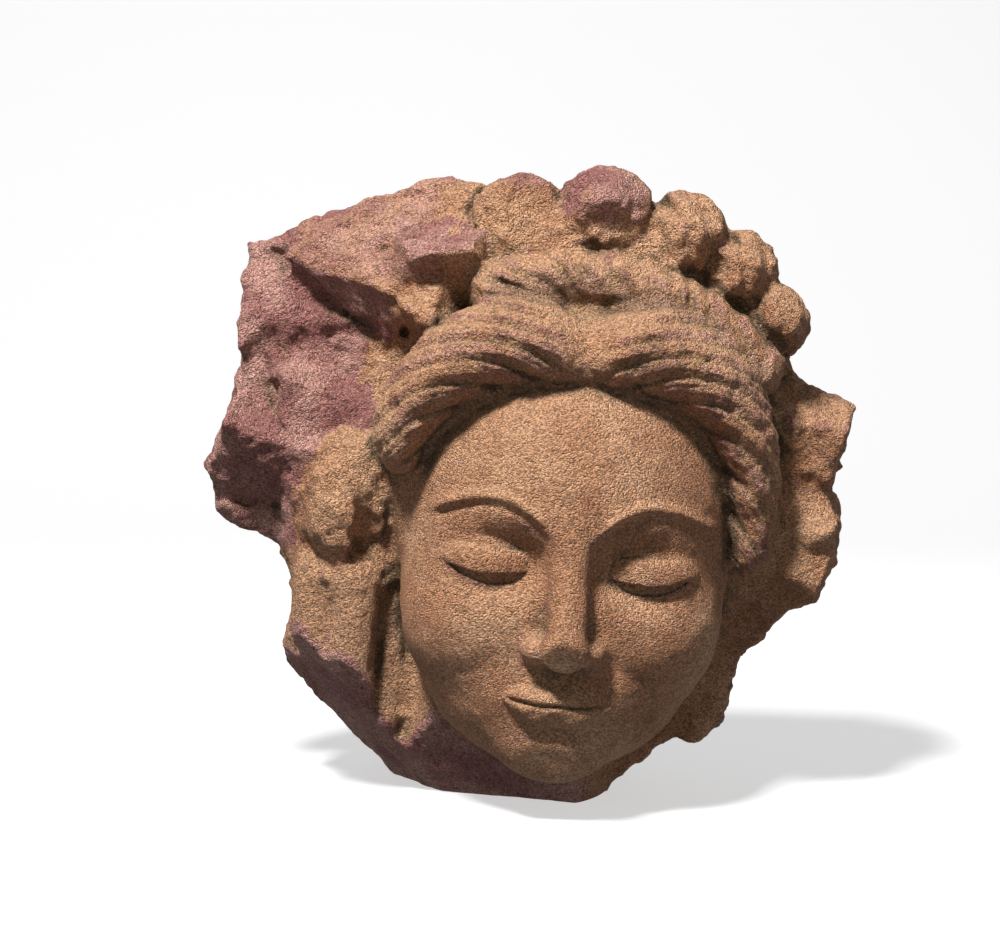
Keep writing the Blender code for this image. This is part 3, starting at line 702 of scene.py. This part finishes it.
carving = bpy.data.meshes.new("carving")
carving.from_pydata(points.tolist(), [], quads.tolist())
bm = bmesh.new()
bm.from_mesh(carving)
specks = keep_largest(bm)
every = bm.verts[:] + bm.edges[:] + bm.faces[:]
bmesh.ops.bisect_plane(bm, geom=every, plane_co=(0, 0, 0), plane_no=(0, 0, 1), clear_inner=True)
rim = [e for e in bm.edges if e.is_boundary]
bmesh.ops.holes_fill(bm, edges=rim)
specks += keep_largest(bm)
bmesh.ops.triangulate(bm, faces=[f for f in bm.faces if len(f.verts) > 4])
bm.to_mesh(carving)
bm.free()
print("cut flat, with", specks, "loose points thrown out")

# %% [markdown]
# The net has far more faces than a part may have. The Decimate modifier merges them where the
# surface is smooth and leaves them where the carving is fine. The mesh is then moved so that it
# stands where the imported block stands.

# %% Thin the mesh out and put it in its place
STONE_TRIANGLES = 196000
raw = put_in_scene("raw", carving)
triangles = sum(len(p.vertices) - 2 for p in carving.polygons)
thin = raw.modifiers.new("thin", "DECIMATE")
thin.ratio = min(1, STONE_TRIANGLES / triangles)
evaluated = raw.evaluated_get(bpy.context.evaluated_depsgraph_get())
stone_mesh = bpy.data.meshes.new_from_object(evaluated)
bpy.data.objects.remove(raw)


def coordinates(mesh):
    """The mesh's points as rows of x, y and z."""
    flat = np.empty(len(mesh.vertices) * 3)
    mesh.vertices.foreach_get("co", flat)
    return flat.reshape(-1, 3)


drawn = coordinates(stone_mesh)
box_low, box_high = (np.array(c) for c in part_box("deity_head"))
shift = (box_low + box_high) / 2 - (drawn.min(0) + drawn.max(0)) / 2
shift[2] = 0
print("moved by", (1000 * shift).round(2), "mm;", len(stone_mesh.polygons), "faces")

# %% [markdown]
# Colour follows shape and history, and in places the light, so each point of the mesh keeps five
# numbers for the material to read. "hollow" is how closed in a place is: the field is read a few
# millimetres out along the normal, and where it is less than that distance, stone stands near on
# other sides. "edge" is the same read inwards, high on crests that hands and rain have rubbed.
# "bare" is 1 on bare broken stone, "coarse" is 0 on the smoothly rubbed face and 1 on all that was
# left rough, and "top" is 1 on surfaces that look up, where pale dust lies and where the colour is
# also painted light from above, and on the neck and the locks, where it is painted light alone.

# %% What each point knows about itself
def nearness(field, spots, normals, reach):
    """0 where the stone is flat or bulges round a point, towards 1 in a tight hollow."""
    return np.clip(1 - field(*(spots + normals * reach).T) / reach, 0, 1)


normals = slope(stone, drawn)
normals = normals / np.maximum(np.linalg.norm(normals, axis=1), 1e-9)[:, None]
close, middle, wide = (nearness(stone, drawn, normals, reach * MM) for reach in (1.6, 4, 10))
EDGE_REACH = 1.4 * MM
inward = stone(*(drawn - normals * EDGE_REACH).T) / EDGE_REACH
hollow = np.clip(0.15 * close + 0.5 * middle + 0.55 * wide, 0, 1)
edge = np.clip((1 + inward) * 1.6, 0, 1)

px, py, pz = drawn.T
head_u, head_w, head_v = in_head(px, py, pz)
grid = [q / SQUARE for q in (px, py, pz)]
wander = 0.5 * noise(*grid, 17, 51) + 0.35 * noise(*grid, 6, 52) + 0.2 * noise(*grid, 2.4, 53)
face_form = face(head_u, head_w, head_v) * PART
head_form = np.minimum(face_form, hair(head_u, head_w, head_v) * PART)
skin = np.minimum(head_form, carved(head_u, head_w, head_v))
broken = ramp(skin + 1.5 * MM * wander, 1.0 * MM, 4.0 * MM)
below = ramp(-lower_breaks(px, py, pz) - 0.5 * MM * wander, 2.2 * MM, 1.2 * MM)
below = below * ramp(head_form, 0.8 * MM, 2.0 * MM)
print("hollow up to", hollow.max().round(2), "edge up to", edge.max().round(2))

# %% Where the bare purple stone shows
left_field = ramp(-px, 44 * SQUARE, 54 * SQUARE) * ramp(pz, 84 * SQUARE, 92 * SQUARE)
shelf_front = plane(px, py, pz, *SHELF_FRONT)
left_field = left_field * ramp(-shelf_front - 1.0 * MM * wander, 0.5 * MM, 2.5 * MM)
shelf_top = ramp(pz + 3 * MM * wander, 174 * SQUARE, 184 * SQUARE)
shelf_top = ramp(-px, 22 * SQUARE, 36 * SQUARE) * shelf_top
back_side = ramp(py + 4 * MM * wander, 32 * MM, 44 * MM)
curl_top = ramp(-broken_curl(px, py, pz), -1 * MM, 0) * ramp(normals[:, 2], 0.2, 0.5)
crown = ramp(head_v + 1.4 * wander, 10.3, 13.0) * ramp(-head_u, -4.5, -1.5)
bare = np.max([
    broken * left_field, below, 0.45 * shelf_top, 0.8 * back_side, 0.7 * curl_top, 0.7 * crown,
], 0)
coarse = ramp(face_form, 0.3 * MM, 2.0 * MM)
# Painted light: places that look up, and the rough neck and locks at the lower left, are marked to
# be painted paler as if lit from above; on places that look up this also stands for pale dust.
painted_light_low_left = ramp(-px, 22 * SQUARE, 40 * SQUARE) * ramp(-pz, -90 * SQUARE, -76 * SQUARE)
looks_up = ramp(normals[:, 2] + 0.3 * wander, 0.1, 0.9)
dust_and_painted_light = np.maximum(looks_up, 0.95 * painted_light_low_left * coarse)


def keep(mesh, name, values):
    """Stores one number for each point of the mesh under a name."""
    made = mesh.attributes.new(name, "FLOAT", "POINT")
    made.data.foreach_set("value", np.ascontiguousarray(values, dtype=np.float32))
    print(name, "from", round(float(values.min()), 2), "to", round(float(values.max()), 2))


for name, values in (
    ("hollow", hollow), ("edge", edge), ("bare", bare), ("coarse", coarse), ("top", dust_and_painted_light),
):
    keep(stone_mesh, name, values)

stone_mesh.vertices.foreach_set("co", (drawn + shift).ravel())
stone_mesh.update()

# %% [markdown]
# One sandstone material covers the whole stone. From the inside out it has: a ground colour that
# wanders between purple, pink and maroon where the stone is bare, a tan crust over it where it was
# carved, turned pale where it looks up (pale dust and painted light from above) and on the neck and
# locks (painted light alone), rubbed spots where the crust is worn from crests, olive dirt in the
# hollows that goes darker brown in the tightest ones, and over everything the grains, each with its
# own shade, a few of them pale. The grains also stand up in the bump, because it is their small
# shadows that make sandstone look dry and rough.

# %% A few short helpers for the material
sandstone = bpy.data.materials.new("sandstone")
sandstone.use_nodes = True
tree = sandstone.node_tree
shader = tree.nodes["Principled BSDF"]
place = tree.nodes.new("ShaderNodeTexCoord").outputs["Object"]


def node(kind, **settings):
    """A new node of the sandstone's tree with its settings made."""
    made = tree.nodes.new(kind)
    for name, value in settings.items():
        setattr(made, name, value)
    return made


def number(value, operation, *others):
    """One step of arithmetic. Each operand is a socket or a plain number."""
    made = node("ShaderNodeMath", operation=operation)
    for socket, operand in zip(made.inputs, (value, *others)):
        if isinstance(operand, bpy.types.NodeSocket):
            tree.links.new(operand, socket)
        else:
            socket.default_value = operand
    return made.outputs[0]


def spread(value, low, high):
    """0 where the value is low, 1 where it is high, and a smooth rise between them."""
    made = node("ShaderNodeMapRange", interpolation_type="SMOOTHSTEP")
    tree.links.new(value, made.inputs["Value"])
    made.inputs["From Min"].default_value = low
    made.inputs["From Max"].default_value = high
    return made.outputs["Result"]


def cloud(size, detail=3.0, roughness=0.55):
    """Noise whose lumps are about size across, in metres."""
    made = node("ShaderNodeTexNoise")
    tree.links.new(place, made.inputs["Vector"])
    made.inputs["Scale"].default_value = 1 / size
    made.inputs["Detail"].default_value = detail
    made.inputs["Roughness"].default_value = roughness
    return made.outputs["Fac"]


def tint(share, first, second):
    """Two colours mixed by a share. Each is a socket or a plain colour."""
    made = node("ShaderNodeMix", data_type="RGBA")
    tree.links.new(share, made.inputs["Factor"])
    for socket, colour in ((made.inputs[6], first), (made.inputs[7], second)):
        if isinstance(colour, bpy.types.NodeSocket):
            tree.links.new(colour, socket)
        else:
            socket.default_value = (*colour, 1)
    return made.outputs[2]


def known(name):
    """The number that each point of the mesh keeps under a name."""
    return node("ShaderNodeAttribute", attribute_name=name).outputs["Fac"]


# %% Bare stone
PURPLE = (0.340, 0.143, 0.122)
PINK = (0.560, 0.300, 0.242)
MAROON = (0.150, 0.050, 0.046)
bare_colour = tint(spread(cloud(0.021), 0.40, 0.66), PURPLE, PINK)
bare_colour = tint(spread(cloud(0.0052, 2.0), 0.56, 0.90), bare_colour, MAROON)

# %% Tan crust
TAN = (0.450, 0.216, 0.113)
# The pale tan is dust in the crust, and also the colour of the painted light on tops and on the
# neck.
PALE_TAN_DUST_AND_LIGHT = (0.600, 0.335, 0.190)
RUST = (0.300, 0.125, 0.060)
crust = tint(spread(cloud(0.034), 0.42, 0.68), TAN, PALE_TAN_DUST_AND_LIGHT)
crust = tint(spread(cloud(0.0120, 4.0), 0.55, 0.80), crust, RUST)
# Painted light and dust: where "top" is high, the crust turns pale tan. On tops this is pale dust
# and painted light from above, on the neck and locks painted light alone.
crust = tint(number(known("top"), "MULTIPLY", 0.75), crust, PALE_TAN_DUST_AND_LIGHT)

# %% Where the crust is gone
patches = number(cloud(0.0068, 4.0), "MULTIPLY", 0.9)
worn = number(number(known("edge"), "MULTIPLY", 0.55), "ADD", patches)
worn = spread(worn, 0.68, 0.90)
ground = tint(number(worn, "MULTIPLY", 0.60), crust, bare_colour)
gone = spread(number(known("bare"), "ADD", number(patches, "MULTIPLY", 0.5)), 0.45, 0.85)
ground = tint(gone, ground, bare_colour)

# %% Olive dirt in the hollows, darker brown in the tightest ones
TIGHT_HOLLOW_BROWN = (0.110, 0.074, 0.040)
OLIVE = (0.255, 0.180, 0.095)
closed = number(known("hollow"), "ADD", number(cloud(0.0045, 3.0), "MULTIPLY", 0.30))
ground = tint(number(spread(closed, 0.50, 0.80), "MULTIPLY", 0.45), ground, OLIVE)
# The tightest hollows go darker brown.
ground = tint(number(spread(closed, 0.80, 1.10), "MULTIPLY", 0.70), ground, TIGHT_HOLLOW_BROWN)

# %% Grains
GRAIN = 0.52 * MM
DARKEST_GRAIN = (0.58, 0.58, 0.58)
LIGHTEST_GRAIN = (1.42, 1.42, 1.42)
QUARTZ = (0.74, 0.60, 0.54)
QUARTZ_ABOVE = 0.985
cells = node("ShaderNodeTexVoronoi", feature="F1")
tree.links.new(place, cells.inputs["Vector"])
cells.inputs["Scale"].default_value = 1 / GRAIN
shade = node("ShaderNodeSeparateColor")
tree.links.new(cells.outputs["Color"], shade.inputs["Color"])
light_grain = tint(spread(shade.outputs["Red"], 0.0, 1.0), DARKEST_GRAIN, LIGHTEST_GRAIN)
speckled = node("ShaderNodeMix", data_type="RGBA", blend_type="MULTIPLY")
speckled.inputs["Factor"].default_value = 1
tree.links.new(ground, speckled.inputs[6])
tree.links.new(light_grain, speckled.inputs[7])
pale = number(shade.outputs["Green"], "GREATER_THAN", QUARTZ_ABOVE)
colour = tint(number(pale, "MULTIPLY", 0.55), speckled.outputs[2], QUARTZ)
tree.links.new(colour, shader.inputs["Base Color"])

# %% Bump and gloss
RELIEF_DEPTH = 1.4 * MM
height = number(number(cells.outputs["Distance"], "MULTIPLY", -0.6), "ADD", cloud(0.0011, 3.0, 0.6))
crumbly = number(cloud(0.0024, 4.0, 0.65), "MULTIPLY", number(known("coarse"), "MULTIPLY", 2.4))
height = number(height, "ADD", crumbly)
relief = node("ShaderNodeBump")
relief.inputs["Strength"].default_value = 1.0
relief.inputs["Distance"].default_value = RELIEF_DEPTH
tree.links.new(height, relief.inputs["Height"])
tree.links.new(relief.outputs["Normal"], shader.inputs["Normal"])
shader.inputs["Roughness"].default_value = 0.88
shader.inputs["Specular IOR Level"].default_value = 0.25
print("sandstone has", len(tree.nodes), "nodes")

# %% [markdown]
# The skin of the stone is never as smooth as the field. Small lumps and pits repeat over the
# whole surface, so Geometry Nodes make them: each point is moved along its normal by two noises,
# more on rough stone and less on the face. The sizes are named inputs of the tree, and the
# underside stays flat because the push fades out near the floor. The result is turned into a
# plain mesh at once.

# %% Build the tree for the rough skin
skin_tree = bpy.data.node_groups.new("rough skin", "GeometryNodeTree")
sockets = skin_tree.interface
sockets.new_socket("Stone", in_out="INPUT", socket_type="NodeSocketGeometry")
ids = {}
for title in ("Lump Size", "Lump Height", "Pit Size", "Pit Depth", "Gain off the Face"):
    ids[title] = sockets.new_socket(title, in_out="INPUT", socket_type="NodeSocketFloat").identifier
finish_socket = sockets.new_socket("Finish", in_out="INPUT", socket_type="NodeSocketMaterial")
ids["Finish"] = finish_socket.identifier
sockets.new_socket("Stone", in_out="OUTPUT", socket_type="NodeSocketGeometry")
into = skin_tree.nodes.new("NodeGroupInput")
out_of = skin_tree.nodes.new("NodeGroupOutput")


def step(operation, first, second):
    """One step of arithmetic in the rough skin's tree."""
    made = skin_tree.nodes.new("ShaderNodeMath")
    made.operation = operation
    for socket, operand in zip(made.inputs, (first, second)):
        if isinstance(operand, bpy.types.NodeSocket):
            skin_tree.links.new(operand, socket)
        else:
            socket.default_value = operand
    return made.outputs[0]


# %% Lumps and pits
PIT_RADIUS = 0.32
lumps = skin_tree.nodes.new("ShaderNodeTexNoise")
lumps.inputs["Detail"].default_value = 2.0
skin_tree.links.new(step("DIVIDE", 1.0, into.outputs["Lump Size"]), lumps.inputs["Scale"])
swell = step("MULTIPLY", step("SUBTRACT", lumps.outputs["Fac"], 0.5), into.outputs["Lump Height"])
pits = skin_tree.nodes.new("ShaderNodeTexVoronoi")
pits.feature = "SMOOTH_F1"
skin_tree.links.new(step("DIVIDE", 1.0, into.outputs["Pit Size"]), pits.inputs["Scale"])
hole = step("MAXIMUM", step("SUBTRACT", PIT_RADIUS, pits.outputs["Distance"]), 0.0)
hole = step("MULTIPLY", hole, into.outputs["Pit Depth"])
coarseness = skin_tree.nodes.new("GeometryNodeInputNamedAttribute")
coarseness.data_type = "FLOAT"
coarseness.inputs["Name"].default_value = "coarse"
gain = step("ADD", 1.0, step("MULTIPLY", coarseness.outputs[0], into.outputs["Gain off the Face"]))
push = step("MULTIPLY", step("SUBTRACT", swell, hole), gain)

# %% Push the points and finish the tree
where = skin_tree.nodes.new("GeometryNodeInputPosition")
parts = skin_tree.nodes.new("ShaderNodeSeparateXYZ")
skin_tree.links.new(where.outputs[0], parts.inputs[0])
above_floor = skin_tree.nodes.new("ShaderNodeMapRange")
skin_tree.links.new(parts.outputs["Z"], above_floor.inputs["Value"])
above_floor.inputs["From Max"].default_value = 2 * MM
outward = skin_tree.nodes.new("GeometryNodeInputNormal")
offset = skin_tree.nodes.new("ShaderNodeVectorMath")
offset.operation = "SCALE"
skin_tree.links.new(outward.outputs[0], offset.inputs[0])
skin_tree.links.new(step("MULTIPLY", push, above_floor.outputs[0]), offset.inputs["Scale"])
moved = skin_tree.nodes.new("GeometryNodeSetPosition")
skin_tree.links.new(into.outputs["Stone"], moved.inputs["Geometry"])
skin_tree.links.new(offset.outputs[0], moved.inputs["Offset"])
smooth = skin_tree.nodes.new("GeometryNodeSetShadeSmooth")
skin_tree.links.new(moved.outputs[0], smooth.inputs["Geometry"])
real = skin_tree.nodes.new("GeometryNodeRealizeInstances")
skin_tree.links.new(smooth.outputs[0], real.inputs[0])
finish = skin_tree.nodes.new("GeometryNodeSetMaterial")
skin_tree.links.new(real.outputs[0], finish.inputs["Geometry"])
skin_tree.links.new(into.outputs["Finish"], finish.inputs["Material"])
skin_tree.links.new(finish.outputs[0], out_of.inputs["Stone"])

# %% Roughen the stone
smooth_stone = put_in_scene("smooth stone", stone_mesh)
skin_modifier = smooth_stone.modifiers.new("rough skin", "NODES")
skin_modifier.node_group = skin_tree
for title, value in (
    ("Lump Size", 3.6 * MM), ("Lump Height", 0.8 * MM), ("Pit Size", 6 * MM),
    ("Pit Depth", 1.0 * MM), ("Gain off the Face", 1.4), ("Finish", sandstone),
):
    skin_modifier[ids[title]] = value
evaluated = smooth_stone.evaluated_get(bpy.context.evaluated_depsgraph_get())
head_mesh = bpy.data.meshes.new_from_object(evaluated)
bpy.data.objects.remove(smooth_stone)
deity_head = put_in_scene("deity_head_stone", head_mesh)
print("the stone has", len(head_mesh.polygons), "faces and", len(head_mesh.materials), "material")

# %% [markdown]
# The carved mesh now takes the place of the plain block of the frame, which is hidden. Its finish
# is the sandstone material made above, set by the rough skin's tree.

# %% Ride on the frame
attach(deity_head, "root")
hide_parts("deity_head")

# %% [markdown]
# A pale floor that curves up behind the stone gives a plain background with no corner. The light
# is one small, strong lamp, high on the left and in front, which draws the carving out by its
# shadows, and a weak wide one that opens the shadows a little. The floor glows by itself and
# throws no light back on the stone, so that the undersides stay dark.

# %% Floor
FLOOR_WIDTH = 3.0
FLOOR_FRONT = -1.6
BACK_DISTANCE = 1.2
BACK_HEIGHT = 2.0
CURVE_RADIUS = 0.5
CURVE_STEPS = 12
profile = [(FLOOR_FRONT, 0.0), (BACK_DISTANCE - CURVE_RADIUS, 0.0)]
for k in range(1, CURVE_STEPS + 1):
    turn = math.pi / 2 * k / CURVE_STEPS
    profile.append((
        BACK_DISTANCE - CURVE_RADIUS + CURVE_RADIUS * math.sin(turn),
        CURVE_RADIUS - CURVE_RADIUS * math.cos(turn),
    ))
profile.append((BACK_DISTANCE, BACK_HEIGHT))
floor_mesh = bpy.data.meshes.new("floor")
rows = [(side * FLOOR_WIDTH, y, z) for y, z in profile for side in (-1, 1)]
strips = [(2 * k, 2 * k + 1, 2 * k + 3, 2 * k + 2) for k in range(len(profile) - 1)]
floor_mesh.from_pydata(rows, [], strips)
floor_mesh.shade_smooth()
floor = put_in_scene("floor", floor_mesh)
paper = bpy.data.materials.new("paper")
paper.use_nodes = True
paper_shader = paper.node_tree.nodes["Principled BSDF"]
paper_shader.inputs["Base Color"].default_value = (0.50, 0.50, 0.50, 1)
paper_shader.inputs["Roughness"].default_value = 0.9
paper_shader.inputs["Emission Color"].default_value = (1, 1, 1, 1)
paper_shader.inputs["Emission Strength"].default_value = 0.55
floor_mesh.materials.append(paper)
floor.visible_diffuse = False

# %% Lamps and world
MIDDLE = Vector((0, 0, 0.110))


def lamp(name, spot, size, energy):
    """A square lamp that looks at the middle of the stone."""
    data = bpy.data.lights.new(name, "AREA")
    data.size = size
    data.energy = energy
    made = put_in_scene(name, data)
    made.location = spot
    made.rotation_euler = (MIDDLE - Vector(spot)).to_track_quat("-Z", "Y").to_euler()


lamp("key", (-0.36, -0.70, 1.34), 0.22, 36)
lamp("fill", (0.7, -1.3, 0.5), 1.2, 2)
world = bpy.data.worlds.new("studio")
world.use_nodes = True
world.node_tree.nodes["Background"].inputs["Color"].default_value = (1, 1, 1, 1)
world.node_tree.nodes["Background"].inputs["Strength"].default_value = 0.16
bpy.context.scene.world = world
bpy.context.scene.view_settings.view_transform = "Standard"

# %% Camera
CAMERA_DISTANCE = 0.815
CAMERA_LIFT = math.radians(6)
camera_data = bpy.data.cameras.new("camera")
camera_data.lens = 85
camera_data.shift_x = -0.028
camera_data.shift_y = 0.02
camera = put_in_scene("camera", camera_data)
back = Vector((0, -math.cos(CAMERA_LIFT), math.sin(CAMERA_LIFT)))
camera.location = MIDDLE + back * CAMERA_DISTANCE
camera.rotation_euler = (-back).to_track_quat("-Z", "Y").to_euler()
bpy.context.scene.camera = camera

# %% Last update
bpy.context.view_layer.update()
print("made in", round(time.time() - started), "s")
